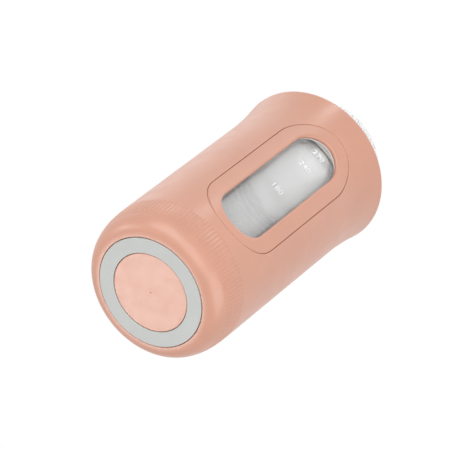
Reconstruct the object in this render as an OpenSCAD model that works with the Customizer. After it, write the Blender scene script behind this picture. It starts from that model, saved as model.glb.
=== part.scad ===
// Wide-neck baby bottle standing in a double-walled protective shell with a window.
// Origin: centre of the foot ring on the table. +Z up, window facing -Y. Millimetres.

/* [Shell] */
// Outside diameter of the shell's straight part
body_d = 74; // [68:0.5:92]
// Outside diameter at the flared rim, measured over the body diameter
flare_out = 4.8; // [3:0.2:8]
// Height of the rim above the table
rim_z = 142.5; // [134:0.5:172]
// Height of the flare, from where it begins up to its widest place
flare_h = 30; // [20:1:45]
// Wall of the outer shell
shell_wall = 2.2; // [1.8:0.1:3]
// Floor of the outer shell
shell_floor = 3; // [2.6:0.1:4]
// Width of the rounded base edge, seen from below
base_edge_w = 10; // [8:0.5:10.5]
// Height of the rounded base edge
base_edge_h = 21; // [14:1:26]
// Depth of the mouth above the ledge that carries the liner
mouth_depth = 16.5; // [14:0.5:20]
// Width of the ledge that carries the liner
ledge_w = 1.4; // [1.2:0.1:1.8]

/* [Foot ring] */
// Outside diameter of the foot ring
foot_od = 53.8; // [48:0.2:54.4]
// Inside diameter of the foot ring
foot_id = 38.8; // [34:0.2:42]
// Thickness of the foot ring
foot_t = 2; // [1.6:0.1:2.4]
// Height by which the foot ring stands proud of the base
foot_proud = 0.4; // [0.3:0.1:0.8]

/* [Window] */
// Width of the opening
window_w = 24.4; // [18:0.2:28]
// Height of the opening's lower end above the table
window_z = 31.5; // [30:0.5:44]
// Distance from the ledge in the mouth down to the opening's upper end
window_drop = 8.5; // [8.5:0.5:40]
// Width of the bezel beside the opening
bezel_side = 8.2; // [6:0.2:9]
// Width of the bezel below the opening
bezel_low = 5.5; // [5:0.1:9]
// Width of the bezel above the opening
bezel_high = 8; // [6:0.1:8]
// Thickness of the bezel's flange
bezel_t = 1.1; // [0.8:0.1:1.3]
// Gap all round the bezel
bezel_gap = 0.25; // [0.15:0.05:0.4]
// Ledge of the shell that the bezel's flange lies on
bezel_ledge = 3.2; // [2.6:0.1:3.6]
// Thickness of the gasket under the bezel
gasket_t = 0.8; // [0.6:0.1:1.2]

/* [Liner] */
// Wall of the inner liner and of the pane set in it
liner_wall = 1.4; // [1:0.1:1.8]
// Air gap under the liner's floor
liner_lift = 1.6; // [1:0.1:3]
// Thickness of the liner's flange
liner_flange_t = 1.2; // [1:0.1:1.6]
// Thickness of the cushion that the bottle stands on
cushion_t = 2; // [1.5:0.1:3]
// Thickness of the seal in the shell's mouth
mouth_seal_t = 1.4; // [1:0.1:2]
// Diameter of the locating peg
peg_d = 7; // [5:0.5:9]

/* [Bottle] */
// Wall of the bottle
bottle_wall = 2; // [1.6:0.1:2.4]
// Floor of the bottle
bottle_floor = 3.6; // [3.2:0.1:5]
// Step in radius from the bottle's body to its neck
neck_step = 2.5; // [2:0.1:3.5]
// Height of the neck above the shoulder
neck_h = 13; // [12:0.5:15]
// Height of the rounded shoulder
shoulder_h = 6; // [4:0.5:9]
// Radius of the bottle's bottom edge
bottle_edge = 6; // [3:0.5:9]
// Lead of the screw thread
thread_lead = 4; // [3:0.25:5]
// Turns of the screw thread
thread_turns = 1.75; // [1:0.25:2]
// Height of the thread ridge above the neck
thread_depth = 1; // [0.7:0.1:1.2]

/* [Collar] */
// Wall of the collar's threaded skirt
collar_wall = 1.5; // [1.2:0.1:1.8]
// Wall of the collar's grip ring
grip_wall = 1.8; // [1.4:0.1:2.2]
// Height of the collar above the shell's rim
collar_stand = 4.5; // [3:0.5:7]
// Thickness of the collar's shoulder over the nipple
collar_shoulder_t = 2.2; // [1.6:0.1:3]
// Thickness of the collar's top web
collar_web_t = 1.6; // [1.2:0.1:2.2]
// Number of grip flutes round the collar
flute_count = 30; // [12:1:48]
// Depth of the grip flutes
flute_depth = 0.5; // [0.3:0.1:0.8]

/* [Nipple] */
// Thickness of the nipple's flange
nipple_flange_t = 2; // [1.5:0.1:2.6]
// Depth of the lip that seals inside the neck
nipple_lip_h = 5; // [3:0.5:7]
// Wall of the nipple's dome
nipple_wall = 1.9; // [1.4:0.1:2.4]
// Height of the nipple above its flange
nipple_h = 36; // [32:1:37]
// Radius of the teat
teat_r = 8; // [6.5:0.25:9]
// Height of the teat above the dome
teat_h = 13.5; // [11:0.5:16]
// How far the dome rises before it turns in
dome_rise = 12; // [9:0.5:14]
// Length over which the dome blends into the teat
dome_blend = 13; // [9:0.5:15]
// Diameter of the feeding hole
hole_d = 0.9; // [0.5:0.1:1.4]

/* [Cap] */
// Distance of the cap's edge inside the collar's edge
cap_inset = 2.4; // [1.6:0.1:3.2]
// Wall of the cap
cap_wall = 1.5; // [1.2:0.1:2]
// Height of the cap above the collar
cap_h = 26; // [24:0.5:32]
// Height of the cap's snap ring on the collar
snap_h = 2; // [1.5:0.1:3]

/* [Hidden] */
$fn = 96;

// Clearances
slide_gap = 0.8;    // liner in shell, bottle in liner, collar in the mouth
seat_gap = 0.3;     // a moving piece beside or above what it seats on
set_gap = 0.1;      // a piece set into a groove or a cut-out
turn_gap = 0.4;     // collar's thread round the neck's, collar's skirt in the liner
cut = 1;            // how far a cutting solid runs past a face

// Places
neck_rise = 3;      // the neck's rim above the ledge
skirt_lift = 2.5;   // the collar's lower edge above the foot of the neck
thread_lift = 3;    // the start of the thread above the foot of the neck
peg_offset = 14;    // the locating peg behind the middle

// Small features
bury = 0.3;         // how deep a thread ridge's root sits in its wall
ridge_root = 0.8;   // half the height of a thread ridge at its root
ridge_crest = 0.35; // half its height at its crest
flute_radius = 2.5; // cutter of the grip flutes
gasket_inset = 0.5; // gasket inside the edges that it lies between
edge_power = 2.8;   // squareness of the rounded base edge
edge_steps = 14;
arc_steps = 12;

// Radii, from the outside in
body_r = body_d / 2;
rim_r = body_r + flare_out / 2;
shell_ir = body_r - shell_wall;
mouth_r = shell_ir + ledge_w;
liner_or = shell_ir - slide_gap;
liner_ir = liner_or - liner_wall;
bottle_or = liner_ir - slide_gap;
bottle_ir = bottle_or - bottle_wall;
neck_or = bottle_or - neck_step;
neck_ir = neck_or - bottle_wall;
collar_ir = neck_or + thread_depth + turn_gap;
collar_or = liner_ir - turn_gap;
grip_or = mouth_r - slide_gap;
cap_edge_r = grip_or - cap_inset;
cap_r = (cap_h * cap_h + cap_edge_r * cap_edge_r) / (2 * cap_h);

// Heights, from the table up
base_z = foot_proud;
shell_floor_z = base_z + shell_floor;
liner_z = shell_floor_z + liner_lift;
liner_floor_z = liner_z + liner_wall;
cushion_z = liner_floor_z + cushion_t;
bottle_z = cushion_z + seat_gap;
ledge_z = rim_z - mouth_depth;
liner_top_z = ledge_z + liner_flange_t;
seal_top_z = liner_top_z + mouth_seal_t;
grip_z = seal_top_z + seat_gap;
neck_top_z = ledge_z + neck_rise;
neck_z = neck_top_z - neck_h;
nipple_top_z = neck_top_z + nipple_flange_t;
nipple_tip_z = nipple_top_z + nipple_h;
collar_top_z = rim_z + collar_stand;
skirt_z = neck_z + skirt_lift;
thread_z = neck_z + thread_lift;
collar_thread_z = thread_z + thread_lead / 2;
cap_z = collar_top_z + seat_gap;
cap_top_z = cap_z + cap_h;
cap_centre_z = cap_top_z - cap_r;
lip_r = (rim_r - mouth_r) / 2;
flare_z = rim_z - lip_r - flare_h;

// Window outlines: lower end, upper end and width of each
opening_top = ledge_z - window_drop;
bezel_z = window_z - bezel_low;
bezel_top = opening_top + bezel_high;
bezel_w = window_w + 2 * bezel_side;
bezel_floor_r = body_r - bezel_t;

// Points of an arc round [cx, cy], from angle a0 to a1
function arc(cx, cy, r, a0, a1) =
    [for (i = [0 : arc_steps]) let (a = a0 + (a1 - a0) * i / arc_steps)
        [cx + r * cos(a), cy + r * sin(a)]];

// Rounded base edge, from the flat base out to the wall, for a wall at radius r over a base at z
function base_edge(r, z, w, h) =
    [for (i = [0 : edge_steps]) let (a = 90 * i / edge_steps)
        [r - w + w * pow(sin(a), 2 / edge_power), z + h - h * pow(cos(a), 2 / edge_power)]];

// Flare: an arc that leaves the straight wall at flare_z and ends at the rim's radius
flare_radius = (flare_h * flare_h + pow(rim_r - body_r, 2)) / (2 * (rim_r - body_r));
flare_angle = asin(flare_h / flare_radius);
function flare() = [for (i = [1 : arc_steps]) let (a = flare_angle * i / arc_steps)
    [body_r + flare_radius * (1 - cos(a)), flare_z + flare_radius * sin(a)]];

// Smooth step from radius r0 at z0 to radius r1 at z1
function blend(r0, z0, r1, z1) =
    [for (i = [0 : arc_steps]) let (t = i / arc_steps)
        [r0 + (r1 - r0) * (1 - cos(180 * t)) / 2, z0 + (z1 - z0) * t]];

function reversed(p) = [for (i = [len(p) - 1 : -1 : 0]) p[i]];

// Tube between two radii and two heights
module tube(r_in, r_out, z0, z1) {
    translate([0, 0, z0])
        difference() {
            cylinder(r = r_out, h = z1 - z0);
            translate([0, 0, -cut])
                cylinder(r = r_in, h = z1 - z0 + 2 * cut);
        }
}

// Prism with round ends that cuts through the front wall
module window_prism(w, z0, z1) {
    rotate([90, 0, 0])
        linear_extrude(height = rim_r + cut) {
            translate([0, z0 + w / 2])
                circle(d = w);
            translate([0, z1 - w / 2])
                circle(d = w);
            translate([-w / 2, z0 + w / 2])
                square([w, z1 - z0 - w]);
        }
}

// The window's outline, drawn in from the bezel's edge on all sides
module bezel_prism(inset) {
    window_prism(bezel_w - 2 * inset, bezel_z + inset, bezel_top - inset);
}

module opening_prism(outset) {
    window_prism(window_w + 2 * outset, window_z - outset, opening_top + outset);
}

// Solid of revolution inside the shell's outer surface
module shell_form() {
    rotate_extrude()
        polygon(concat(
            [[0, base_z]],
            base_edge(body_r, base_z, base_edge_w, base_edge_h),
            [[body_r, flare_z]],
            flare(),
            arc(rim_r - lip_r, rim_z - lip_r, lip_r, 0, 180),
            [[mouth_r, ledge_z], [shell_ir, ledge_z]],
            [[0, ledge_z]]
        ));
}

module shell_bore() {
    edge_w = base_edge_w - shell_wall;
    edge_h = base_edge_h - shell_wall;
    rotate_extrude()
        polygon(concat(
            [[0, shell_floor_z]],
            base_edge(shell_ir, shell_floor_z, edge_w, edge_h),
            [[shell_ir, ledge_z + cut], [0, ledge_z + cut]]
        ));
}

// Helical ridge with a flat-topped section, rising by the thread's lead.
// root and crest are its radii; it ends in tapered run-outs.
module thread_ridge(root, crest, z0) {
    steps_per_turn = 32;
    steps = steps_per_turn * thread_turns;
    fade = 4;
    ring = [for (i = [0 : steps])
        let (a = 360 * i / steps_per_turn,
             z = z0 + thread_lead * i / steps_per_turn,
             k = min(1, (i + 0.5) / fade, (steps - i + 0.5) / fade),
             c = root + (crest - root) * k)
        [
            [root * cos(a), root * sin(a), z - ridge_root],
            [c * cos(a), c * sin(a), z - ridge_crest],
            [c * cos(a), c * sin(a), z + ridge_crest],
            [root * cos(a), root * sin(a), z + ridge_root]
        ]];
    points = [for (section = ring) each section];
    inward = crest < root;
    sides = [for (i = [0 : steps - 1], j = [0 : 3]) let (n = (j + 1) % 4)
        [4 * i + j, 4 * i + n, 4 * i + 4 + n, 4 * i + 4 + j]];
    triangles = [for (q = sides) each [[q[0], q[1], q[2]], [q[0], q[2], q[3]]]];
    last = 4 * steps;
    ends = [[2, 1, 0], [3, 2, 0], [last, last + 1, last + 2], [last, last + 2, last + 3]];
    faces = [for (f = concat(triangles, ends)) inward ? [f[2], f[1], f[0]] : f];
    polyhedron(points = points, faces = faces);
}

module outer_shell() {
    groove_in = foot_id / 2 - set_gap;
    groove_out = foot_od / 2 + set_gap;
    groove_top = foot_t;
    gate_r = 0.9;
    dimple_r = 3;
    dimple = 0.25;
    color("lightsalmon") {
        difference() {
            shell_form();
            shell_bore();
            tube(groove_in, groove_out, base_z - cut, groove_top);
            translate([0, 0, base_z - cut])
                cylinder(r = dimple_r, h = cut + dimple);
            difference() {
                bezel_prism(0);
                cylinder(r = bezel_floor_r, h = rim_z);
            }
            bezel_prism(bezel_ledge);
        }
        translate([0, 0, base_z])
            cylinder(r = gate_r, h = dimple + 0.2);
    }
}

module inner_liner() {
    edge_w = base_edge_w - shell_wall - slide_gap;
    edge_h = base_edge_h - shell_wall - slide_gap;
    flange_r = mouth_r - set_gap;
    peg_top = bottle_z + bottle_floor / 2 - seat_gap;
    color("mistyrose")
        difference() {
            union() {
                difference() {
                    rotate_extrude()
                        polygon(concat(
                            [[0, liner_z]],
                            base_edge(liner_or, liner_z, edge_w, edge_h),
                            [[liner_or, ledge_z], [flange_r, ledge_z]],
                            [[flange_r, liner_top_z], [0, liner_top_z]]
                        ));
                    rotate_extrude()
                        polygon(concat(
                            [[0, liner_floor_z]],
                            base_edge(liner_ir, liner_floor_z, edge_w - liner_wall, edge_h - liner_wall),
                            [[liner_ir, liner_top_z + cut], [0, liner_top_z + cut]]
                        ));
                }
                translate([0, peg_offset, liner_floor_z])
                    cylinder(d = peg_d, h = peg_top - liner_floor_z);
            }
            bezel_prism(bezel_ledge + bezel_gap - set_gap);
        }
}

module foot_ring() {
    edge = 0.4;
    r_in = foot_id / 2;
    r_out = foot_od / 2;
    color("silver")
        rotate_extrude()
            polygon([
                [r_in + edge, 0], [r_out - edge, 0], [r_out, edge], [r_out, foot_t],
                [r_in, foot_t], [r_in, edge]
            ]);
}

// The bezel: a flange flush with the shell, and a boss that reaches through the wall
module window_bezel() {
    color("lightsalmon")
        difference() {
            union() {
                intersection() {
                    difference() {
                        shell_form();
                        cylinder(r = bezel_floor_r, h = rim_z);
                    }
                    bezel_prism(bezel_gap);
                }
                intersection() {
                    tube(shell_ir, bezel_floor_r, bezel_z, bezel_top);
                    bezel_prism(bezel_ledge + bezel_gap);
                }
            }
            opening_prism(0);
        }
}

module window_gasket() {
    color("whitesmoke")
        difference() {
            intersection() {
                tube(shell_ir - gasket_t, shell_ir, bezel_z, bezel_top);
                bezel_prism(bezel_ledge + bezel_gap + gasket_inset);
            }
            opening_prism(gasket_inset);
        }
}

module window_pane() {
    color("lightcyan", 0.4)
        intersection() {
            tube(liner_ir, shell_ir - gasket_t, bezel_z, bezel_top);
            bezel_prism(bezel_ledge + bezel_gap);
        }
}

module base_cushion() {
    pad_r = liner_ir - base_edge_w;
    color("silver")
        difference() {
            tube(0, pad_r, liner_floor_z, cushion_z);
            translate([0, peg_offset, 0])
                cylinder(d = peg_d + 4 * set_gap, h = cushion_z + cut);
        }
}

module mouth_seal() {
    lip = 0.4;
    r_in = liner_ir + lip;
    r_out = mouth_r - set_gap;
    color("silver")
        rotate_extrude()
            polygon([
                [r_in, liner_top_z], [r_out, liner_top_z], [r_out, seal_top_z - lip],
                [r_out - lip, seal_top_z], [r_in + lip, seal_top_z], [r_in, seal_top_z - lip]
            ]);
}

module bottle() {
    shoulder_z = neck_z - shoulder_h;
    floor_z = bottle_z + bottle_floor;
    inner_edge = bottle_edge - bottle_wall / 2;
    rim_edge = 0.4;
    color("white", 0.5) {
        difference() {
            rotate_extrude()
                polygon(concat(
                    [[0, bottle_z]],
                    arc(bottle_or - bottle_edge, bottle_z + bottle_edge, bottle_edge, -90, 0),
                    blend(bottle_or, shoulder_z, neck_or, neck_z),
                    [[neck_or, neck_top_z - rim_edge], [neck_or - rim_edge, neck_top_z]],
                    [[neck_ir + rim_edge, neck_top_z], [neck_ir, neck_top_z - rim_edge]],
                    reversed(blend(bottle_ir, shoulder_z, neck_ir, neck_z)),
                    reversed(arc(bottle_ir - inner_edge, floor_z + inner_edge, inner_edge, -90, 0)),
                    [[0, floor_z]]
                ));
            translate([0, peg_offset, bottle_z - cut])
                cylinder(d = peg_d + 2 * seat_gap, h = cut + bottle_floor / 2 + seat_gap);
        }
        thread_ridge(neck_or - bury, neck_or + thread_depth, thread_z);
    }
}

module nipple() {
    lip_r_out = neck_ir - seat_gap;
    lip_edge = 0.5;
    lip_z = neck_top_z - nipple_lip_h;
    color("whitesmoke")
        difference() {
            rotate_extrude()
                polygon(concat(
                    [[lip_r_out - nipple_wall, lip_z], [lip_r_out - lip_edge, lip_z]],
                    [[lip_r_out, lip_z + lip_edge], [lip_r_out, neck_top_z]],
                    [[neck_or, neck_top_z], [neck_or, nipple_top_z]],
                    nipple_outline(lip_r_out, 0),
                    reversed(nipple_outline(lip_r_out, nipple_wall))
                ));
            translate([0, 0, nipple_tip_z - 2 * nipple_wall])
                cylinder(d = hole_d, h = 3 * nipple_wall);
        }
}

// Cubic curve from a to d that leaves towards b and arrives from c
function curve(a, b, c, d) = [for (i = [0 : edge_steps]) let (t = i / edge_steps, s = 1 - t)
    s * s * s * a + 3 * s * s * t * b + 3 * s * t * t * c + t * t * t * d];

// Outline of the nipple: a wide dome that draws in to a round-ended teat, moved inwards by skin
function nipple_outline(dome_r, skin) =
    let (r = dome_r - skin, tip = teat_r - skin, teat_z = nipple_tip_z - teat_h)
    concat(
        curve(
            [r, nipple_top_z], [r, nipple_top_z + dome_rise - skin],
            [tip, teat_z - dome_blend - skin], [tip, teat_z - skin]
        ),
        arc(0, nipple_tip_z - teat_r, tip, 0, 90)
    );

module collar() {
    hole_r = neck_ir;
    shoulder_top = nipple_top_z + collar_shoulder_t;
    web_z = collar_top_z - collar_web_t;
    snap_top = collar_top_z + snap_h;
    snap_r = sqrt(pow(cap_r - cap_wall, 2) - pow(snap_top - cap_centre_z, 2)) - seat_gap;
    snap_in = snap_r - collar_wall;
    grip_in = grip_or - grip_wall;
    color("white") {
        difference() {
            union() {
                tube(collar_ir, collar_or, skirt_z, collar_top_z);
                tube(hole_r, collar_or, nipple_top_z, shoulder_top);
                tube(min(snap_in, collar_ir), grip_or, web_z, collar_top_z);
                tube(grip_in, grip_or, grip_z, collar_top_z);
                tube(snap_in, snap_r, web_z, snap_top);
            }
            for (i = [0 : flute_count - 1])
                rotate([0, 0, i * 360 / flute_count])
                    translate([grip_or + flute_radius - flute_depth, 0, grip_z - cut])
                        cylinder(r = flute_radius, h = collar_top_z - grip_z + 2 * cut);
        }
        thread_ridge(collar_ir + bury, neck_or + turn_gap, collar_thread_z);
    }
}

module cap() {
    boss_gap = 1.4;
    boss_r = teat_r + boss_gap;
    boss_h = 8;
    color("white", 0.4)
        rotate_extrude()
            intersection() {
                union() {
                    difference() {
                        translate([0, cap_centre_z])
                            circle(r = cap_r);
                        translate([0, cap_centre_z])
                            circle(r = cap_r - cap_wall);
                    }
                    intersection() {
                        translate([0, cap_centre_z])
                            circle(r = cap_r - cap_wall / 2);
                        translate([boss_r, cap_top_z - boss_h])
                            square([cap_wall, boss_h]);
                    }
                }
                translate([0, cap_z])
                    square([cap_r, cap_h]);
            }
}

outer_shell();
inner_liner();
foot_ring();
window_bezel();
window_gasket();
window_pane();
base_cushion();
mouth_seal();
bottle();
nipple();
collar();
cap();
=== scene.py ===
"""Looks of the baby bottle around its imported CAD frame. Lengths and places are in millimetres."""

import math

import bmesh
import bpy
from mathutils import Matrix, Quaternion, Vector


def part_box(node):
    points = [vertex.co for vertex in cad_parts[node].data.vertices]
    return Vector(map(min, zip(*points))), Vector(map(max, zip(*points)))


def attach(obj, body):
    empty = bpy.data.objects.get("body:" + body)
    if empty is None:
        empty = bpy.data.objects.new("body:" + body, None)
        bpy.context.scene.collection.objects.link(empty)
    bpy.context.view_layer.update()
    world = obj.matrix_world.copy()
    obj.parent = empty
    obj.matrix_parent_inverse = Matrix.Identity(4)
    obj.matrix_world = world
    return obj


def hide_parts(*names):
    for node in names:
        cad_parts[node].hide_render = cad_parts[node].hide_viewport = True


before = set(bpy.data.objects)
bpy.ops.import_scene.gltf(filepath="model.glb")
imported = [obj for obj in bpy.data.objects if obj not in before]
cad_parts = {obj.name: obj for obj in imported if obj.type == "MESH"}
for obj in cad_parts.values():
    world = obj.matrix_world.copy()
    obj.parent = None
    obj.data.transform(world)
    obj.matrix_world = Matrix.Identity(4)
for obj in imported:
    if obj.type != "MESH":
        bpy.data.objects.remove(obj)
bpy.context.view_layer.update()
MM = 0.001


def span(node):
    """Lowest and highest corner of a CAD node in millimetres."""
    low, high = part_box(node)
    return low / MM, high / MM


# ---------------------------------------------------------------- sizes

# Shared by several pieces
SET_GAP = 0.1  # between a piece and what it is set into
SEAT_GAP = 0.3  # between a moving piece and what it seats on
TURN_GAP = 0.4  # between threads, and between the collar's skirt and the liner
TOUCH = 0.02  # keeps two surfaces that touch from lying in one place
EDGE, FINE_EDGE = 0.3, 0.1  # fillets of moulded edges

# Shell
shell_low, shell_high = span("outer_shell")
rim_r, rim_z, base_z = shell_high.x, shell_high.z, shell_low.z
FLARE_OUT = 2.4  # rim radius over body radius
FLARE_H = 30.0
DRAFT = 0.5  # how much the body narrows from the flare down to the base
SHELL_WALL, SHELL_FLOOR = 2.2, 3.0
EDGE_W, EDGE_H, EDGE_POWER = 10.0, 21.0, 2.8  # rounded base edge
RIB_COUNT, RIB_DEPTH = 120, 0.3
RIB_LOW, RIB_HIGH, RIB_FADE = 6.2, 20.0, 2.2
RIB_START, RIB_END = RIB_LOW - 1.2, base_z + EDGE_H + 0.2  # ends of the ribs' fine mesh
GATE_R, GATE_H = 0.8, 0.35  # gate mark in the middle of the base
DIMPLE_R, DIMPLE = 2.4, 0.05
body_r = rim_r - FLARE_OUT
shell_in_r = body_r - SHELL_WALL

# Foot ring
FOOT_IN, FOOT_GAP, FOOT_EDGE = 19.4, 0.25, 0.25

# Liner and mouth
liner_low, liner_high = span("inner_liner")
LINER_WALL, LINER_FLANGE = 1.4, 1.2
PEG_R, PEG_OFFSET = 3.5, 14.0
SEAL_SET = 0.4  # how much wider the mouth seal's hole is than the liner's, in radius
mouth_r = liner_high.x + SET_GAP
ledge_z = liner_high.z - LINER_FLANGE
lip_r = (rim_r - mouth_r) / 2
flare_z = rim_z - lip_r - FLARE_H
flare_radius = (FLARE_H**2 + FLARE_OUT**2) / (2 * FLARE_OUT)

# Window: each outline is its width, lower end and upper end
bezel_low, bezel_high = span("window_bezel")
pane_low, pane_high = span("window_pane")
BEZEL = (bezel_high.x - bezel_low.x, bezel_low.z, bezel_high.z)
PANE = (pane_high.x - pane_low.x, pane_low.z, pane_high.z)
OPENING = (24.4, 31.5, 117.5)
OPENING_EDGE = 1.3  # radius of the opening's rounded edge
BEZEL_GAP, BEZEL_T, BEZEL_LEDGE = 0.16, 1.1, 3.2
GROOVE_EDGE = 0.45  # radius of the edges on both sides of the bezel's gap
recess_r = body_r - BEZEL_T
liner_r = -pane_low.y  # the pane lies in the liner's wall
liner_in_r = liner_r - LINER_WALL

# Bottle
bottle_low, bottle_high = span("bottle")
BOTTLE_WALL, BOTTLE_FLOOR, BOTTLE_EDGE = 2.0, 3.6, 6.0
NECK_STEP, NECK_H, SHOULDER_H = 2.5, 13.0, 6.0
THREAD_LEAD, THREAD_TURNS, THREAD_DEPTH, THREAD_LIFT = 4.0, 1.75, 1.0, 3.0
RIDGE = (0.85, 0.75, 0.45, 0.2)  # half a ridge's height, from its buried root to its crest
bottle_r = bottle_high.x
neck_r = bottle_r - NECK_STEP
neck_in_r = neck_r - BOTTLE_WALL
neck_top = bottle_high.z
neck_z = neck_top - NECK_H
thread_z = neck_z + THREAD_LIFT

# Nipple
nipple_low, nipple_high = span("nipple")
NIPPLE_FLANGE, NIPPLE_WALL, TEAT_R, TEAT_H = 2.0, 1.9, 8.0, 13.5
DOME_RISE, DOME_BLEND, HOLE_R = 12.0, 13.0, 0.45
LIP_LOW, LIP_HIGH = neck_top - 0.5, neck_top + 5.5  # ends of the whiter lip
flange_top = neck_top + NIPPLE_FLANGE

# Collar and cap
collar_low, collar_high = span("collar")
cap_low, cap_high = span("cap")
COLLAR_WALL, GRIP_WALL, WEB_T, SHOULDER_T, SNAP_H = 1.5, 1.8, 1.6, 2.2, 2.0
FLUTES, FLUTE_DEPTH = 30, 0.5
CAP_WALL, CAP_H = 1.5, cap_high.z - cap_low.z
BOSS_R, BOSS_H = TEAT_R + 1.4, 8.0  # the boss inside the cap that closes the teat
collar_top = collar_high.z - SNAP_H
cap_r = (CAP_H**2 + cap_high.x**2) / (2 * CAP_H)
cap_centre = cap_high.z - cap_r

# Fill marks: number and height
MARKS = (("270", 111.0), ("240", 98.5), ("180", 73.5))
MARK_SIZE, MARK_DEPTH, MARK_LIFT = 4.6, 0.03, 0.06

# Mesh density
COLUMNS = 192
SECTOR = 24  # columns on each side of the front that the window's patch takes
PER_WAVE = 8  # columns in one rib or flute
FILLET_STEPS = 5
CREASE = 40  # degrees from which an edge is drawn sharp
ON_AXIS = 1e-6  # a profile's point nearer to the axis than this lies on it


# ---------------------------------------------------------------- mesh code


def polar(radius, degrees, z):
    a = math.radians(degrees)
    return (radius * math.cos(a), radius * math.sin(a), z)


def azimuth(j, columns):
    """Degrees of a column; the first one is at the front."""
    return -90 + 360 * j / columns


def lerp(a, b, t):
    return a + (b - a) * t


def steps(a, b, count):
    """count + 1 even values from a to b."""
    return [lerp(a, b, i / count) for i in range(count + 1)]


def smooth(t):
    t = min(max(t, 0.0), 1.0)
    return t * t * (3 - 2 * t)


class Skin:
    """Vertices and faces of one piece while it is built."""

    def __init__(self):
        self.points = []
        self.faces = []

    def row(self, points):
        first = len(self.points)
        self.points += points
        return list(range(first, len(self.points)))

    def ring(self, radius, z, columns):
        return self.row([polar(radius, azimuth(j, columns), z) for j in range(columns)])

    def bridge(self, a, b, closed=True):
        for i in range(len(a) if closed else len(a) - 1):
            n = (i + 1) % len(a)
            self.faces.append((a[i], a[n], b[n], b[i]))

    def fan(self, row, point):
        (tip,) = self.row([point])
        for i, v in enumerate(row):
            self.faces.append((v, row[(i + 1) % len(row)], tip))

    def thin_out(self, fine, coarse):
        """Joins a ring to one with fewer columns."""
        ratio = len(fine) // len(coarse)
        for j, low in enumerate(coarse):
            nxt = coarse[(j + 1) % len(coarse)]
            for k in range(ratio):
                a, b = fine[j * ratio + k], fine[(j * ratio + k + 1) % len(fine)]
                self.faces.append((a, b, low if k < ratio / 2 else nxt))
            self.faces.append((fine[j * ratio + (ratio + 1) // 2], nxt, low))

    def loft(self, rows, closed=True):
        for a, b in zip(rows, rows[1:]):
            self.bridge(a, b, closed)

    def build(self, name):
        mesh = bpy.data.meshes.new(name)
        mesh.from_pydata([Vector(p) * MM for p in self.points], [], self.faces)
        bm = bmesh.new()
        bm.from_mesh(mesh)
        bmesh.ops.recalc_face_normals(bm, faces=bm.faces)
        bm.to_mesh(mesh)
        bm.free()
        mesh.shade_smooth()
        mesh.set_sharp_from_angle(angle=math.radians(CREASE))
        piece = bpy.data.objects.new(name, mesh)
        bpy.context.scene.collection.objects.link(piece)
        return piece


def arc(cx, cz, radius, a0, a1, count):
    return [
        (cx + radius * math.cos(math.radians(a)), cz + radius * math.sin(math.radians(a)))
        for a in steps(a0, a1, count)
    ]


def bezier(a, b, c, d, count):
    """Points of a cubic curve in a profile."""
    out = []
    for t in steps(0, 1, count):
        s = 1 - t
        shares = (s**3, 3 * s * s * t, 3 * s * t * t, t**3)
        out.append(tuple(sum(w * p[k] for w, p in zip(shares, (a, b, c, d))) for k in (0, 1)))
    return out


def rounded(corners):
    """A profile through corners (r, z) or (r, z, fillet), with support points beside each fillet."""
    out = []
    for i, corner in enumerate(corners):
        here = Vector(corner[:2])
        if len(corner) < 3 or i in (0, len(corners) - 1):
            out.append(tuple(here))
            continue
        before, after = Vector(corners[i - 1][:2]), Vector(corners[i + 1][:2])
        u, v = (before - here).normalized(), (after - here).normalized()
        half = u.angle(v) / 2
        radius = corner[2]
        reach = radius / math.tan(half)
        centre = here + (u + v).normalized() * radius / math.sin(half)
        start, end = here + u * reach, here + v * reach
        margin = 0.4 * radius
        if (before - here).length > reach + 2 * margin:
            out.append(tuple(start + u * margin))
        a, b = start - centre, end - centre
        turn = a.angle_signed(b)
        for t in steps(0, 1, FILLET_STEPS):
            out.append(tuple(centre + Matrix.Rotation(-turn * t, 2) @ a))
        if (after - here).length > reach + 2 * margin:
            out.append(tuple(end + v * margin))
    return out


def turned_rows(skin, profile, columns=COLUMNS):
    """Rings of a profile that stays off the axis, lofted but open at both ends."""
    rows = [skin.ring(r, z, columns) for r, z in profile]
    skin.loft(rows)
    return rows


def turned(skin, profile, columns):
    """Revolves an open profile whose ends lie on the axis, or a closed one that doesn't touch it."""
    rows = turned_rows(skin, [p for p in profile if p[0] > ON_AXIS], columns)
    for (r, z), row in ((profile[0], rows[0]), (profile[-1], rows[-1])):
        if r <= ON_AXIS:
            skin.fan(row, (0, 0, z))
    if profile[0][0] > ON_AXIS and profile[-1][0] > ON_AXIS:
        skin.bridge(rows[-1], rows[0])


def join_rows(skin, first, rows, last):
    """Bridges rows that are lofted already to the rings before and after them."""
    skin.bridge(first, rows[0])
    skin.bridge(rows[-1], last)


# A stadium outline is kept as its width and ends, and for each point as a frame: the nearest height
# on its spine and the direction outwards. Outlines with the same frames have matching points.


def frames_near(points, shape):
    """Frames of the outline's points nearest to the given ones."""
    width, low, high = shape
    r = width / 2
    out = []
    for x, z in points:
        s = min(max(z, low + r), high - r)
        d = math.hypot(x, z - s)
        out.append((s, x / d, (z - s) / d))
    return out


def even_frames(shape):
    """Frames spread evenly, from the right side over the upper end and back round the lower one."""
    width, low, high = shape
    a, b = high - width / 2, low + width / 2
    turns, straights = 48, 40
    out = [(a, math.cos(t), math.sin(t)) for t in steps(0, math.pi, turns)]
    out += [(s, -1.0, 0.0) for s in steps(a, b, straights)[1:-1]]
    out += [(b, math.cos(t), math.sin(t)) for t in steps(math.pi, 2 * math.pi, turns)]
    out += [(s, 1.0, 0.0) for s in steps(b, a, straights)[1:-1]]
    return out


def outline(shape, frames, outwards=0.0):
    r = shape[0] / 2 + outwards
    return [(nx * r, s + nz * r) for s, nx, nz in frames]


def grown(shape, gap):
    """The outline of a hole that leaves this gap round a piece of that shape."""
    width, low, high = shape
    return (width + 2 * gap, low - gap, high + gap)


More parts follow.
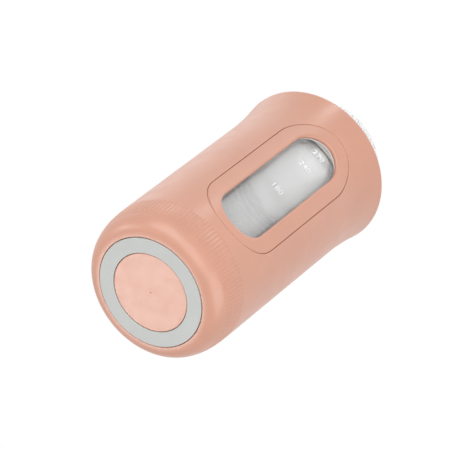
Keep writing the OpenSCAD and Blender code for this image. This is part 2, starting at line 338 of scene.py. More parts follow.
def at(radius, z):
    """A wall's radius at height z; it is given as a number or as a function of z."""
    return radius(z) if callable(radius) else radius


def on_front(points, radius):
    """(x, z) points put on the front of a wall."""
    return [(x, -math.sqrt(at(radius, z) ** 2 - x * x), z) for x, z in points]


def window_ring(skin, shape, frames, outwards, radius):
    """A ring along a stadium outline on the front of a wall."""
    return skin.row(on_front(outline(shape, frames, outwards), radius))


def holed_wall(skin, heights, radius):
    """A wall with a rectangular gap at the front. Returns its lowest and highest ring, and the gap's
    edge as vertex numbers and as (x, z) points."""
    kept = range(SECTOR, COLUMNS - SECTOR + 1)
    low = skin.ring(at(radius, heights[0]), heights[0], COLUMNS)
    high = skin.ring(at(radius, heights[-1]), heights[-1], COLUMNS)
    middle = []
    for z in heights[1:-1]:
        middle.append(skin.row([polar(at(radius, z), azimuth(j, COLUMNS), z) for j in kept]))
    rows = [[low[j] for j in kept], *middle, [high[j] for j in kept]]
    skin.loft(rows, closed=False)
    across = [j % COLUMNS for j in range(-SECTOR, SECTOR + 1)]
    edge = [low[j] for j in across]
    edge += [row[0] for row in middle]
    edge += [high[j] for j in reversed(across)]
    edge += [row[-1] for row in reversed(middle)]
    flat = [(skin.points[v][0], skin.points[v][2]) for v in edge]
    return low, high, edge, flat


def close_in(skin, edge, flat, target, radius, shares):
    """Rings of the patch from the gap's edge to the target outline, along the wall."""

    def angle(x, z):
        return math.asin(max(-1.0, min(1.0, x / at(radius, z))))

    rows = [edge]
    for t in shares:
        points = []
        for (x0, z0), (x1, z1) in zip(flat, target):
            z = lerp(z0, z1, t)
            a = lerp(angle(x0, z0), angle(x1, z1), t)
            r = at(radius, z)
            points.append((r * math.sin(a), -r * math.cos(a), z))
        rows.append(skin.row(points))
    skin.loft(rows)
    return rows[-1]


def fillet_rows(skin, shape, frames, side, surface, size, count=4):
    """Rings of a rounded edge from the surface inwards: round a hole for side 1, round a plate's
    outside for side -1. The last ring lies on the outline itself."""
    rows = []
    for a in steps(0, 90, count):
        away = size * (1 - math.sin(math.radians(a)))
        deep = size * (1 - math.cos(math.radians(a)))
        rows.append(window_ring(skin, shape, frames, side * away, lambda z: surface(z) - deep))
    return rows


# ---------------------------------------------------------------- shell


def drafted(z):
    """Radius of the body's wall, which narrows a little downwards."""
    return body_r - DRAFT * max(0.0, (flare_z - z) / flare_z)


def wall_radius(z):
    """Radius of the shell's outer surface above the flat of the base."""
    if z < base_z + EDGE_H:
        q = 1 - (z - base_z) / EDGE_H
        return drafted(z) - EDGE_W + EDGE_W * (1 - q**EDGE_POWER) ** (1 / EDGE_POWER)
    if z <= flare_z:
        return drafted(z)
    return body_r + flare_radius - math.sqrt(flare_radius**2 - (z - flare_z) ** 2)


def base_edge(radius, floor, width, height, a0, a1, count):
    """Rounded base edge of a wall: 0 degrees lies on the flat base, 90 on the wall."""
    out = []
    for a in steps(a0, a1, count):
        c, s = max(math.cos(math.radians(a)), 0.0), math.sin(math.radians(a))
        r = radius - width + width * s ** (2 / EDGE_POWER)
        out.append((r, floor + height - height * c ** (2 / EDGE_POWER)))
    return out


def bowl(skin, wall, radius, floor, width, height):
    """Closes a wall's lowest ring downwards with a rounded edge and a flat bottom."""
    profile = base_edge(radius, floor, width, height, 90, 0, 24)
    rows = turned_rows(skin, [*profile, (10, floor), (1, floor)])
    skin.bridge(wall, rows[0])
    skin.fan(rows[-1], (0, 0, floor))


def base_profile():
    """The base from its middle outwards, up to the ribs: gate mark, dimple, groove and edge."""
    ring_high = span("foot_ring")[1]
    groove_in, groove_out = FOOT_IN - FOOT_GAP, ring_high.x + SET_GAP
    dimple_z = base_z + DIMPLE
    gate_foot = -math.degrees(math.asin(1 - GATE_H / GATE_R))
    gate = arc(0, dimple_z - GATE_H + GATE_R, GATE_R, -84, gate_foot, 6)
    base = rounded(
        [
            (gate[-1][0] + 0.25, dimple_z),
            (DIMPLE_R - 0.8, dimple_z, 0.4),
            (DIMPLE_R, base_z, 0.8),
            (groove_in, base_z, 0.25),
            (groove_in, ring_high.z, FINE_EDGE),
            (groove_out, ring_high.z, FINE_EDGE),
            (groove_out, base_z, EDGE),
            (groove_out + 0.6, base_z),
        ]
    )
    edge = [(drafted(z) + r, z) for r, z in base_edge(0, base_z, EDGE_W, EDGE_H, 0, 90, 40)]
    edge = [(r, z) for r, z in edge if r > base[-1][0] + 0.2 and z < RIB_START - 0.3]
    return gate + base + edge


def rib_ring(skin, z):
    """A ring of the ribbed band: grooves that fade out at both ends."""
    fade = smooth((z - RIB_LOW) / RIB_FADE) * smooth((RIB_HIGH - z) / RIB_FADE)
    columns = PER_WAVE * RIB_COUNT
    points = []
    for j in range(columns):
        wave = 0.5 - 0.5 * math.cos(2 * math.pi * j / PER_WAVE)
        points.append(polar(wall_radius(z) - RIB_DEPTH * fade * wave, azimuth(j, columns), z))
    return skin.row(points)


def make_shell():
    """Outside from the base up, with the window's recess; then the inside, the rim and the floor."""
    skin = Skin()
    base_rows = turned_rows(skin, base_profile())
    skin.fan(base_rows[0], (0, 0, base_z + DIMPLE - GATE_H))
    band = [rib_ring(skin, z) for z in steps(RIB_START, RIB_END, 36)]
    skin.thin_out(band[0], base_rows[-1])
    skin.loft(band)

    wall_low, wall_high = RIB_END + 1.6, ledge_z + 4
    low, high, edge, flat = holed_wall(skin, steps(wall_low, wall_high, 72), wall_radius)
    skin.thin_out(band[-1], low)
    hole = grown(BEZEL, BEZEL_GAP)
    frames = frames_near(flat, hole)
    shares = (0.16, 0.32, 0.48, 0.64, 0.78, 0.9, 1)
    rows = [close_in(skin, edge, flat, outline(hole, frames, 0.7), wall_radius, shares)]
    rows += fillet_rows(skin, hole, frames, 1, wall_radius, GROOVE_EDGE)
    for inset, radius in ((0, recess_r), (BEZEL_LEDGE, recess_r), (BEZEL_LEDGE, shell_in_r)):
        rows.append(window_ring(skin, hole, frames, -inset, radius))
    skin.loft(rows)

    heights = steps(wall_low, ledge_z - 0.4, 72)
    in_low, in_high, edge, flat = holed_wall(skin, heights, shell_in_r)
    way_through = outline(hole, frames, -BEZEL_LEDGE)
    inner = close_in(skin, edge, flat, way_through, shell_in_r, (0.35, 0.7))
    skin.bridge(inner, rows[-1])

    lip_z = rim_z - lip_r
    rim = [(wall_radius(z), z) for z in steps(wall_high, lip_z, 9)[1:-1]]
    rim += arc(rim_r - lip_r, lip_z, lip_r, -6, 180, 20)
    rim += rounded([(mouth_r, lip_z - 1), (mouth_r, ledge_z, EDGE), (shell_in_r, ledge_z)])
    join_rows(skin, high, turned_rows(skin, rim), in_high)
    bowl(skin, in_low, shell_in_r, base_z + SHELL_FLOOR, EDGE_W - SHELL_WALL, EDGE_H - SHELL_WALL)
    return skin.build("shell_body")


def make_bezel():
    """Frame flush with the shell, with a rounded opening and a boss through the shell's wall."""
    skin = Skin()
    outer, inner = even_frames(BEZEL), even_frames(OPENING)
    seat_r, back_r = recess_r + TOUCH, shell_in_r + TOUCH
    rows = [window_ring(skin, BEZEL, outer, 0, seat_r)]
    rows += fillet_rows(skin, BEZEL, outer, -1, wall_radius, GROOVE_EDGE)[::-1]
    near = outline(BEZEL, outer, -GROOVE_EDGE - 0.3)
    far = outline(OPENING, inner, OPENING_EDGE + 0.4)
    for t in steps(0, 1, 9):
        between = [(lerp(x0, x1, t), lerp(z0, z1, t)) for (x0, z0), (x1, z1) in zip(near, far)]
        rows.append(skin.row(on_front(between, wall_radius)))
    rows += fillet_rows(skin, OPENING, inner, 1, wall_radius, OPENING_EDGE, 8)
    rows.append(window_ring(skin, OPENING, inner, 0, shell_in_r + 0.25))
    rows.append(window_ring(skin, OPENING, inner, 0.2, back_r))
    rows.append(window_ring(skin, BEZEL, outer, -BEZEL_LEDGE, back_r))
    rows.append(window_ring(skin, BEZEL, outer, -BEZEL_LEDGE, seat_r))
    skin.loft(rows)
    skin.bridge(rows[-1], rows[0])
    return skin.build("bezel_frame")


def make_pane():
    skin = Skin()
    frames = even_frames(PANE)
    insets = [*steps(PANE[0] / 2 - 0.4, 0.5, 16), 0.2]
    rows = [window_ring(skin, PANE, frames, -i, liner_r) for i in insets]
    rows += [window_ring(skin, PANE, frames, 0, r) for r in (liner_r - 0.15, liner_in_r + 0.15)]
    rows += [window_ring(skin, PANE, frames, -i, liner_in_r) for i in reversed(insets)]
    skin.loft(rows)
    for row in (rows[0], rows[-1]):
        skin.faces.append(tuple(row))
    return skin.build("pane")


# ---------------------------------------------------------------- turned pieces


def turned_piece(name, profile, columns=COLUMNS):
    skin = Skin()
    turned(skin, profile, columns)
    return skin.build(name)


def make_foot_ring():
    low, high = span("foot_ring")
    in_r, out_r, middle = FOOT_IN + 0.05, high.x - FOOT_GAP, (FOOT_IN + high.x) / 2
    return turned_piece(
        "foot_pad",
        rounded(
            [
                (middle, low.z),
                (out_r, low.z, FOOT_EDGE),
                (out_r, high.z, FINE_EDGE),
                (in_r, high.z, FINE_EDGE),
                (in_r, low.z, FOOT_EDGE),
                (middle - 1, low.z),
            ]
        ),
    )


def add_peg(skin, floor):
    """Locating peg on the liner's floor; its top is hidden in the bottle's floor."""
    low, top = floor - 0.2, bottle_low.z + BOTTLE_FLOOR / 2 - SEAT_GAP
    peg = Skin()
    turned(peg, rounded([(0, low), (PEG_R, low, FINE_EDGE), (PEG_R, top, 0.6), (0, top)]), 32)
    first = len(skin.points)
    skin.points += [(x, y + PEG_OFFSET, z) for x, y, z in peg.points]
    skin.faces += [tuple(v + first for v in face) for face in peg.faces]


def make_liner():
    """Cup inside the shell, with a flange on the shell's ledge and a hole for the pane."""
    skin = Skin()
    floor, inside = liner_low.z, liner_low.z + LINER_WALL
    width, height = EDGE_W - (body_r - liner_r), EDGE_H - (body_r - liner_r)
    wall_high = ledge_z - 0.6
    heights = steps(floor + height + 1, wall_high, 40)
    low, high, edge, flat = holed_wall(skin, heights, liner_r)
    in_low, in_high, edge_in, flat_in = holed_wall(skin, heights, liner_in_r)
    hole = grown(PANE, SET_GAP)
    target = outline(hole, frames_near(flat, hole))
    shares = (0.3, 0.6, 0.85, 1)
    outer = close_in(skin, edge, flat, target, liner_r, shares)
    inner = close_in(skin, edge_in, flat_in, target, liner_in_r, shares)
    skin.bridge(outer, inner)
    rim = rounded(
        [
            (liner_r, wall_high + 0.1),
            (liner_r, ledge_z, 0.2),
            (liner_high.x, ledge_z, 0.2),
            (liner_high.x, liner_high.z, EDGE),
            (liner_in_r, liner_high.z, EDGE),
            (liner_in_r, wall_high + 0.1),
        ]
    )
    join_rows(skin, high, turned_rows(skin, rim), in_high)
    bowl(skin, low, liner_r, floor, width, height)
    bowl(skin, in_low, liner_in_r, inside, width - LINER_WALL, height - LINER_WALL)
    add_peg(skin, inside)
    return skin.build("liner_cup")


def make_mouth_seal():
    low, high = span("mouth_seal")
    in_r, middle = liner_in_r + SEAL_SET, high.x - 1.2
    return turned_piece(
        "mouth_ring",
        rounded(
            [
                (middle, low.z),
                (high.x, low.z, 0.2),
                (high.x, high.z, 0.6),
                (in_r, high.z, 0.6),
                (in_r, low.z, 0.2),
                (middle - 0.4, low.z),
            ]
        ),
    )


def make_cushion():
    low, high = span("base_cushion")
    profile = [(0, low.z), (high.x, low.z, 0.2), (high.x, high.z, 0.8), (0, high.z)]
    return turned_piece("cushion_pad", rounded(profile), 96)


def helix(skin, root, crest, z0):
    """Thread ridge with tapered ends, standing on the wall at radius root."""
    per_turn, fade, bury = 72, 8, 0.3
    total = int(per_turn * THREAD_TURNS)
    sign = 1 if crest > root else -1
    rows = []
    for i in range(total + 1):
        a = 360 * i / per_turn
        z = z0 + THREAD_LEAD * i / per_turn
        k = min(1, (i + 0.5) / fade, (total - i + 0.5) / fade)
        tip = root + (crest - root) * k
        radii = (root - sign * bury, root + sign * 0.1 * k, tip - sign * 0.25 * k, tip)
        flank = list(zip(radii, RIDGE))
        section = [(r, z - h) for r, h in flank] + [(r, z + h) for r, h in reversed(flank)]
        rows.append(skin.row([polar(r, a, h) for r, h in section]))
    skin.loft(rows)
    skin.faces.append(tuple(rows[0]))
    skin.faces.append(tuple(reversed(rows[-1])))


def shoulder(wall, neck):
    """Smooth step from the bottle's wall in to its neck."""
    out = []
    for t in steps(0, 1, 14):
        r = lerp(wall, neck, (1 - math.cos(math.pi * t)) / 2)
        out.append((r, lerp(neck_z - SHOULDER_H, neck_z, t)))
    return out


def make_bottle():
    skin = Skin()
    low, floor = bottle_low.z, bottle_low.z + BOTTLE_FLOOR
    in_r, in_edge = bottle_r - BOTTLE_WALL, BOTTLE_EDGE - BOTTLE_WALL / 2
    heights = (20, 40, 60, 80, 100)
    profile = [(0, low), (10, low)]
    profile += arc(bottle_r - BOTTLE_EDGE, low + BOTTLE_EDGE, BOTTLE_EDGE, -90, 0, 12)
    profile += [(bottle_r, z) for z in heights]
    profile += shoulder(bottle_r, neck_r)
    profile += rounded(
        [
            (neck_r, neck_z + 0.5),
            (neck_r, neck_top, 0.4),
            (neck_in_r, neck_top, 0.4),
            (neck_in_r, neck_z + 0.5),
        ]
    )
    profile += shoulder(in_r, neck_in_r)[::-1]
    profile += [(in_r, z) for z in reversed(heights)]
    profile += arc(in_r - in_edge, floor + in_edge, in_edge, -90, 0, 12)[::-1]
    profile += [(10, floor), (0, floor)]
    turned(skin, profile, COLUMNS)
    helix(skin, neck_r, neck_r + THREAD_DEPTH, thread_z)
    return skin.build("bottle_body")


def nipple_curve(dome_r, depth):
    """Dome and teat from the flange up to the tip, at that depth under the outer surface."""
    teat_z = nipple_high.z - TEAT_H
    r, tip = dome_r - depth, TEAT_R - depth
    foot = (r, flange_top), (r, flange_top + DOME_RISE - depth)
    throat = (tip, teat_z - DOME_BLEND - depth), (tip, teat_z - depth)
    return bezier(*foot, *throat, 40) + arc(0, nipple_high.z - TEAT_R, tip, 0, 88, 18)


def make_nipple():
    """Lip inside the neck, flange on the neck's rim, dome, and teat with its hole."""
    dome_r = neck_in_r - SEAT_GAP
    profile = rounded(
        [
            (dome_r - NIPPLE_WALL, nipple_low.z + 2),
            (dome_r - NIPPLE_WALL, nipple_low.z, 0.5),
            (dome_r, nipple_low.z, 0.6),
            (dome_r, neck_top, FINE_EDGE),
            (neck_r, neck_top, EDGE),
            (neck_r, flange_top, 0.5),
            (dome_r + 0.2, flange_top),
        ]
    )
    outer = nipple_curve(dome_r, 0)
    inner = nipple_curve(dome_r, NIPPLE_WALL)[::-1]
    hole = [(HOLE_R, outer[-1][1] + TOUCH), (HOLE_R, inner[0][1])]
    return turned_piece("nipple_dome", profile + outer[:-1] + hole + inner[1:], 160)


def make_collar():
    """Screw collar: threaded skirt, clamping shoulder, top web, fluted grip ring and snap ring."""
    skin = Skin()
    in_r, out_r = neck_r + THREAD_DEPTH + TURN_GAP, liner_in_r - TURN_GAP
    grip_out = collar_high.x
    grip_in = grip_out - GRIP_WALL
    grip_low = span("mouth_seal")[1].z + SEAT_GAP
    web_low, clamp_top = collar_top - WEB_T, flange_top + SHOULDER_T
    cap_in_r = math.sqrt((cap_r - CAP_WALL) ** 2 - (collar_high.z - cap_centre) ** 2)
    snap_r = cap_in_r - SEAT_GAP
    snap_in = snap_r - COLLAR_WALL
    profile = rounded(
        [
            (in_r, collar_low.z + 2),
            (in_r, collar_low.z, EDGE),
            (out_r, collar_low.z, EDGE),
            (out_r, web_low, EDGE),
            (grip_in, web_low, EDGE),
            (grip_in, grip_low, EDGE),
            (grip_out, grip_low, EDGE),
            (grip_out, collar_top, 0.5),
            (snap_r, collar_top, EDGE),
            (snap_r, collar_high.z, EDGE),
            (snap_in, collar_high.z, EDGE),
            (snap_in, web_low, EDGE),
            (in_r, web_low - 0.4, EDGE),
            (in_r, clamp_top, EDGE),
            (neck_in_r, clamp_top, EDGE),
            (neck_in_r, flange_top, EDGE),
            (in_r, flange_top, FINE_EDGE),
            (in_r, collar_low.z + 2.5),
        ]
    )
    columns = PER_WAVE * FLUTES
    rows = []
    for r, z in profile:
        share = smooth((r - grip_out + 0.8) / 0.5)
        points = []
        for j in range(columns):
            flute = max(0.0, math.cos(2 * math.pi * j / PER_WAVE)) ** 1.5
            points.append(polar(r - FLUTE_DEPTH * share * flute, azimuth(j, columns), z))
        rows.append(skin.row(points))
    skin.loft(rows)
    skin.bridge(rows[-1], rows[0])
    helix(skin, in_r, neck_r + TURN_GAP, thread_z + THREAD_LEAD / 2)
    return skin.build("collar_ring")


def make_cap():
    """Dome with a rounded foot and, inside it, a boss that closes the teat."""
    base, foot, foot_edge = cap_low.z, cap_low.z + 0.5, 0.35
    inside = cap_r - CAP_WALL
    boss_out, boss_end = BOSS_R + CAP_WALL, cap_high.z - BOSS_H

    def dome(radius, a0, a1, count):
        return arc(0, cap_centre, radius, a0, a1, count)

    def foot_angle(radius):
        return math.degrees(math.asin((foot - cap_centre) / radius))

    def ceiling_angle(r):
        return math.degrees(math.acos(r / inside))

    def ceiling(r):
        return cap_centre + math.sqrt(inside**2 - r * r)

    out = dome(cap_r, 90, foot_angle(cap_r), 48)
    foot_out, foot_in = out[-1][0], inside * math.cos(math.radians(foot_angle(inside)))
    out += rounded(
        [
            (foot_out, foot),
            (foot_out + 0.05, base, foot_edge),
            (foot_in, base, foot_edge),
            (foot_in, foot),
        ]
    )[1:-1]
    out += dome(inside, foot_angle(inside), ceiling_angle(boss_out + 0.3), 36)
    out += rounded(
        [
            (boss_out + 0.05, ceiling(boss_out) - 0.2),
            (boss_out, boss_end, 0.4),
            (BOSS_R, boss_end, 0.4),
            (BOSS_R - 0.05, ceiling(BOSS_R) - 0.2),
        ]
    )
    out += dome(inside, ceiling_angle(BOSS_R - 0.3), 90, 10)
    return turned_piece("cap_dome", out)


# ---------------------------------------------------------------- printed marks


def flat_number(text, z):
    """Mesh of a number in the XZ plane, centred at height z, with edges short enough to bend."""
    curve = bpy.data.curves.new("mark_" + text, "FONT")
    curve.body, curve.size, curve.extrude = text, MARK_SIZE, MARK_DEPTH
    curve.align_x, curve.align_y = "CENTER", "CENTER"
    holder = bpy.data.objects.new("mark_" + text, curve)
    bpy.context.scene.collection.objects.link(holder)
    bpy.context.view_layer.update()
    drawn = holder.evaluated_get(bpy.context.evaluated_depsgraph_get())
    mesh = bpy.data.meshes.new_from_object(drawn)
    bpy.data.objects.remove(holder)
    bm = bmesh.new()
    bm.from_mesh(mesh)
    bmesh.ops.remove_doubles(bm, verts=bm.verts, dist=1e-4)
    long_edges = [e for e in bm.edges if e.calc_length() > 1.0]
    bmesh.ops.subdivide_edges(bm, edges=long_edges, cuts=2)
    for v in bm.verts:
        v.co = Vector((v.co.x, v.co.z, v.co.y + z))
    bm.to_mesh(mesh)
    bm.free()
    return mesh


def wrap_round(mesh, radius):
    """Bends a mesh drawn in the XZ plane in millimetres round the front of that radius."""
    for v in mesh.vertices:
        x, depth, z = v.co
        a = x / radius
        r = radius + depth
        v.co = Vector((r * math.sin(a), -r * math.cos(a), z)) * MM


def make_marks():
    """Generic fill marks: numbers printed on the pane's inner face."""
    whole = bmesh.new()
    for text, z in MARKS:
        number = flat_number(text, z)
        whole.from_mesh(number)
        bpy.data.meshes.remove(number)
    mesh = bpy.data.meshes.new("fill_marks")
    whole.to_mesh(mesh)
    whole.free()
    wrap_round(mesh, liner_in_r - MARK_LIFT)
    marks = bpy.data.objects.new("fill_marks", mesh)
    bpy.context.scene.collection.objects.link(marks)
    return marks


# ---------------------------------------------------------------- materials

NOISE_LOW, NOISE_HIGH = 0.3, 0.7  # nearly all values of a noise texture lie between these
GRAIN_SCALE = 900.0


class Nodes:
    """A new material with a Principled shader, and short calls for the nodes round it."""

    def __init__(self, name):
        self.material = bpy.data.materials.new(name)
        self.material.use_nodes = True
        self.tree = self.material.node_tree
        self.shader = self.tree.nodes["Principled BSDF"]
        self.out = self.tree.nodes["Material Output"]
        self.coords = self.tree.nodes.new("ShaderNodeTexCoord")

    def set(self, **values):
        for key, value in values.items():
            self.shader.inputs[key.replace("_", " ")].default_value = value

    def noise(self, scale, detail=3.0):
        node = self.tree.nodes.new("ShaderNodeTexNoise")
        node.inputs["Scale"].default_value = scale
        node.inputs["Detail"].default_value = detail
        self.tree.links.new(self.coords.outputs["Object"], node.inputs["Vector"])
        return node.outputs["Fac"]

    def spread(self, value, low, high):
        """A noise value mapped to low..high."""
        node = self.tree.nodes.new("ShaderNodeMapRange")
        node.inputs["From Min"].default_value = NOISE_LOW
        node.inputs["From Max"].default_value = NOISE_HIGH
        node.inputs["To Min"].default_value = low
        node.inputs["To Max"].default_value = high
        self.tree.links.new(value, node.inputs["Value"])
        return node.outputs["Result"]

    def shades(self, value, first, second):
        """Two colours blended by a noise value."""
        node = self.tree.nodes.new("ShaderNodeValToRGB")
        for element, place, colour in zip(
            node.color_ramp.elements, (NOISE_LOW, NOISE_HIGH), (first, second)
        ):
            element.position = place
            element.color = (*colour, 1)
        self.tree.links.new(value, node.inputs["Fac"])
        return node.outputs["Color"]

    def feed(self, value, socket):
        self.tree.links.new(value, self.shader.inputs[socket])

    def bump(self, value, height):
        node = self.tree.nodes.new("ShaderNodeBump")
        node.inputs["Strength"].default_value = 1.0
        node.inputs["Distance"].default_value = height * MM
        self.tree.links.new(value, node.inputs["Height"])
        self.feed(node.outputs["Normal"], "Normal")

    def lit_through(self):
        """Lets lamps through the surface, so that what lies behind it is lit."""
        rays = self.tree.nodes.new("ShaderNodeLightPath")
        clear = self.tree.nodes.new("ShaderNodeBsdfTransparent")
        clear.inputs["Color"].default_value = (0.97, 0.97, 0.97, 1)
        mix = self.tree.nodes.new("ShaderNodeMixShader")
        self.tree.links.new(rays.outputs["Is Shadow Ray"], mix.inputs["Fac"])
        self.tree.links.new(self.shader.outputs["BSDF"], mix.inputs[1])
        self.tree.links.new(clear.outputs["BSDF"], mix.inputs[2])
        self.tree.links.new(mix.outputs["Shader"], self.out.inputs["Surface"])


def moulded(name, colour, change=0.03, roughness=(0.4, 0.48), grain=0.004, **more):
    """Moulded plastic or silicone: faint colour drift, uneven gloss and a fine grain."""
    n = Nodes(name)
    low = tuple(c * (1 - change) for c in colour)
    high = tuple(min(1.0, c * (1 + change)) for c in colour)
    n.feed(n.shades(n.noise(60.0), low, high), "Base Color")
    n.feed(n.spread(n.noise(150.0, 5.0), *roughness), "Roughness")
    n.bump(n.noise(GRAIN_SCALE, 2.0), grain)
    n.set(**more)
    return n.material


def clear(name, tint, roughness=(0.02, 0.05), ior=1.49, weight=1.0):
    """Clear or frosted plastic or silicone that lets lamps through."""
    n = Nodes(name)
    low = tuple(c * 0.985 for c in tint)
    n.feed(n.shades(n.noise(40.0), low, tint), "Base Color")
    n.feed(n.spread(n.noise(120.0, 4.0), *roughness), "Roughness")
    n.set(Transmission_Weight=weight, IOR=ior)
    n.lit_through()
    return n.material


# ---------------------------------------------------------------- assembly

SALMON = (0.58, 0.27, 0.18)
shell_plastic = moulded("shell_plastic", SALMON, roughness=(0.3, 0.38), Specular_IOR_Level=1.0)
liner_plastic = moulded("liner_plastic", (1.0, 0.74, 0.66), roughness=(0.3, 0.4))
grey_silicone = moulded("grey_silicone", (0.52, 0.53, 0.515), roughness=(0.6, 0.7), grain=0.01)
white_silicone = clear(
    "white_silicone", (0.9, 0.905, 0.9), roughness=(0.5, 0.6), ior=1.41, weight=0.6
)
lip_silicone = moulded("lip_silicone", (1.0, 1.0, 1.0), change=0.01, roughness=(0.4, 0.5))
collar_plastic = moulded("collar_plastic", (0.86, 0.86, 0.85), roughness=(0.3, 0.4))
ink = moulded("white_ink", (0.9, 0.9, 0.9), roughness=(0.5, 0.6), Alpha=0.95)
pane_plastic = clear("clear_plastic", (0.97, 0.97, 0.97))
bottle_plastic = moulded(
    "bottle_plastic",
    (0.96, 0.96, 0.96),
    change=0.01,
    roughness=(0.12, 0.18),
    grain=0.001,
    Alpha=0.25,
)
cap_plastic = clear("cap_plastic", (0.93, 0.94, 0.94), roughness=(0.4, 0.5), weight=0.7)


def whiten_lip(nipple):
    """The nipple's thick lip over the neck is whiter than its thin dome."""
    nipple.data.materials.append(lip_silicone)
    for polygon in nipple.data.polygons:
        if LIP_LOW * MM < polygon.center.z < LIP_HIGH * MM:
            polygon.material_index = 1


PIECES = (
    (make_shell, "shell", "outer_shell", "shell_plastic", shell_plastic),
    (make_liner, "shell", "inner_liner", "liner_plastic", liner_plastic),
    (make_foot_ring, "shell", "foot_ring", "grey_silicone", grey_silicone),
    (make_bezel, "shell", "window_bezel", "shell_plastic", shell_plastic),
    (make_pane, "shell", "window_pane", "clear_plastic", pane_plastic),
    (make_cushion, "shell", "base_cushion", "grey_silicone", grey_silicone),
    (make_mouth_seal, "shell", "mouth_seal", "grey_silicone", grey_silicone),
    (make_bottle, "bottle", "bottle", "bottle_plastic", bottle_plastic),
    (make_nipple, "nipple", "nipple", "white_silicone", white_silicone),
    (make_collar, "collar", "collar", "collar_plastic", collar_plastic),
    (make_cap, "cap", "cap", "cap_plastic", cap_plastic),
)
for make, body, node, slot, material in PIECES:
    piece = make()
    piece.data.materials.append(material)
    if node == "nipple":
        whiten_lip(piece)
    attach(piece, body)
    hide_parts(node)

marks = make_marks()
marks.data.materials.append(ink)
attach(marks, "shell")

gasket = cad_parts["window_gasket"]
gasket.data.materials.clear()
gasket.data.materials.append(lip_silicone)


# ---------------------------------------------------------------- camera, light and floor

CAMERA_AZIMUTH, CAMERA_ELEVATION, CAMERA_ROLL = 3.25, -48.4, 52.09  # degrees
CAMERA_DISTANCE = 1249.5
AIM = (-3.6, -0.19, 67.3)
LENS, SENSOR = 217.7, 36.0


def direction(azimuth, elevation):
    """Unit vector from the object towards that azimuth, 0 in front, and elevation."""
    a, e = math.radians(azimuth), math.radians(elevation)
    return Vector((math.sin(a) * math.cos(e), -math.cos(a) * math.cos(e), math.sin(e)))


def make_camera():
    back = direction(CAMERA_AZIMUTH, CAMERA_ELEVATION)
    data = bpy.data.cameras.new("camera")
    data.sensor_width, data.lens = SENSOR, LENS
    data.clip_start, data.clip_end = 0.01, 20
    camera = bpy.data.objects.new("camera", data)
    camera.rotation_mode = "QUATERNION"
    camera.location = (Vector(AIM) + back * CAMERA_DISTANCE) * MM
    level = (-back).to_track_quat("-Z", "Y")
    camera.rotation_quaternion = level @ Quaternion((0, 0, 1), math.radians(CAMERA_ROLL))
    bpy.context.scene.collection.objects.link(camera)
    bpy.context.scene.camera = camera


WORLD_LIGHT = 0.6
LAMP_MIDDLE = (0, 0, 80)

# Each lamp's name, direction from the middle in metres, size in metres, and the light that it gives
# to a white surface facing it
LAMPS = (
    ("above_light", (0.0, -0.1, 1.0), 1.4, 0.3),
    ("front_light", (-0.05, -0.75, -0.66), 1.0, 0.32),
    ("key_light", (-0.7, -0.6, -0.4), 0.8, 0.28),
    ("right_light", (0.8, -0.5, -0.3), 1.0, 0.35),
    ("left_light", (-0.8, 0.3, -0.52), 0.4, 0.1),
    ("far_left_light", (-0.6, 0.3, 0.74), 0.6, 0.04),
    ("under_light", (-0.04, 0.66, -0.75), 0.35, 0.14),
    ("flare_light", (-0.48, -0.63, 0.61), 0.16, 0.045),
)


def softbox(name, towards, size, light):
    """A round lamp that faces the bottle's middle."""
    data = bpy.data.lights.new(name, "AREA")
    data.shape = "DISK"
    data.size = size
    data.energy = light * math.pi**2
    lamp = bpy.data.objects.new(name, data)
    lamp.location = Vector(LAMP_MIDDLE) * MM + Vector(towards)
    lamp.rotation_mode = "QUATERNION"
    lamp.rotation_quaternion = (-Vector(towards)).to_track_quat("-Z", "Y")
    bpy.context.scene.collection.objects.link(lamp)


def make_world():
    """White where it is seen, reflected or seen through a clear piece; dimmer as light."""
    world = bpy.data.worlds.new("world")
    bpy.context.scene.world = world
    world.use_nodes = True
    tree = world.node_tree
    tree.nodes.clear()

    def either(a, b):
        node = tree.nodes.new("ShaderNodeMath")
        node.operation = "MAXIMUM"
        tree.links.new(a, node.inputs[0])
        tree.links.new(b, node.inputs[1])
        return node.outputs[0]

    def background(strength):
        node = tree.nodes.new("ShaderNodeBackground")
        node.inputs["Color"].default_value = (1, 1, 1, 1)
        node.inputs["Strength"].default_value = strength
        return node.outputs[0]

    rays = tree.nodes.new("ShaderNodeLightPath").outputs
    seen = either(rays["Is Camera Ray"], rays["Is Glossy Ray"])
    mix = tree.nodes.new("ShaderNodeMixShader")
    out = tree.nodes.new("ShaderNodeOutputWorld")
    tree.links.new(either(seen, rays["Is Transmission Ray"]), mix.inputs["Fac"])
    tree.links.new(background(WORLD_LIGHT), mix.inputs[1])
    tree.links.new(background(1.0), mix.inputs[2])
    tree.links.new(mix.outputs[0], out.inputs["Surface"])


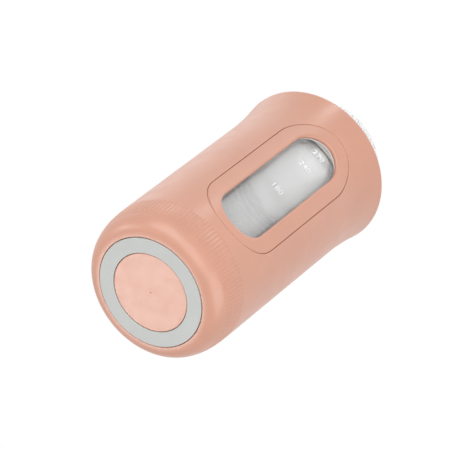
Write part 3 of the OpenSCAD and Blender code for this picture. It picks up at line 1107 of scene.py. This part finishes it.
FLOOR_HALF, FLOOR_LEVEL = 3000.0, -0.2
FLOOR_FADE = (120.0, 450.0)  # radii between which the floor fades to white


def floor_material():
    """Pale paper that fades to white far out and is clear from below."""
    n = Nodes("floor_paper")
    tree = n.tree
    n.set(Roughness=0.9, Base_Color=(0.9, 0.9, 0.9, 1))
    n.set(Emission_Color=(1, 1, 1, 1), Emission_Strength=0.25)
    length = tree.nodes.new("ShaderNodeVectorMath")
    length.operation = "LENGTH"
    tree.links.new(n.coords.outputs["Object"], length.inputs[0])
    fade = tree.nodes.new("ShaderNodeMapRange")
    fade.interpolation_type = "SMOOTHSTEP"
    fade.inputs["From Min"].default_value = FLOOR_FADE[0] * MM
    fade.inputs["From Max"].default_value = FLOOR_FADE[1] * MM
    tree.links.new(length.outputs["Value"], fade.inputs["Value"])
    side = tree.nodes.new("ShaderNodeNewGeometry")
    white = tree.nodes.new("ShaderNodeEmission")
    gone = tree.nodes.new("ShaderNodeBsdfTransparent")

    def mixed(share, first, second):
        node = tree.nodes.new("ShaderNodeMixShader")
        tree.links.new(share, node.inputs["Fac"])
        tree.links.new(first, node.inputs[1])
        tree.links.new(second, node.inputs[2])
        return node.outputs[0]

    paper = mixed(fade.outputs["Result"], n.shader.outputs["BSDF"], white.outputs[0])
    both = mixed(side.outputs["Backfacing"], paper, gone.outputs[0])
    tree.links.new(both, n.out.inputs["Surface"])
    return n.material


def make_floor():
    """A pale floor, seen only from above, that keeps the shadow."""
    mesh = bpy.data.meshes.new("floor")
    corners = [(-1, -1), (1, -1), (1, 1), (-1, 1)]
    points = [Vector((x * FLOOR_HALF, y * FLOOR_HALF, FLOOR_LEVEL)) * MM for x, y in corners]
    mesh.from_pydata(points, [], [(0, 1, 2, 3)])
    mesh.materials.append(floor_material())
    floor = bpy.data.objects.new("floor", mesh)
    bpy.context.scene.collection.objects.link(floor)
    floor.visible_shadow = False
    floor.visible_diffuse = False
    floor.visible_glossy = False
    floor.visible_transmission = False


make_camera()
make_world()
make_floor()
for lamp in LAMPS:
    softbox(*lamp)
bpy.context.scene.view_settings.view_transform = "Standard"
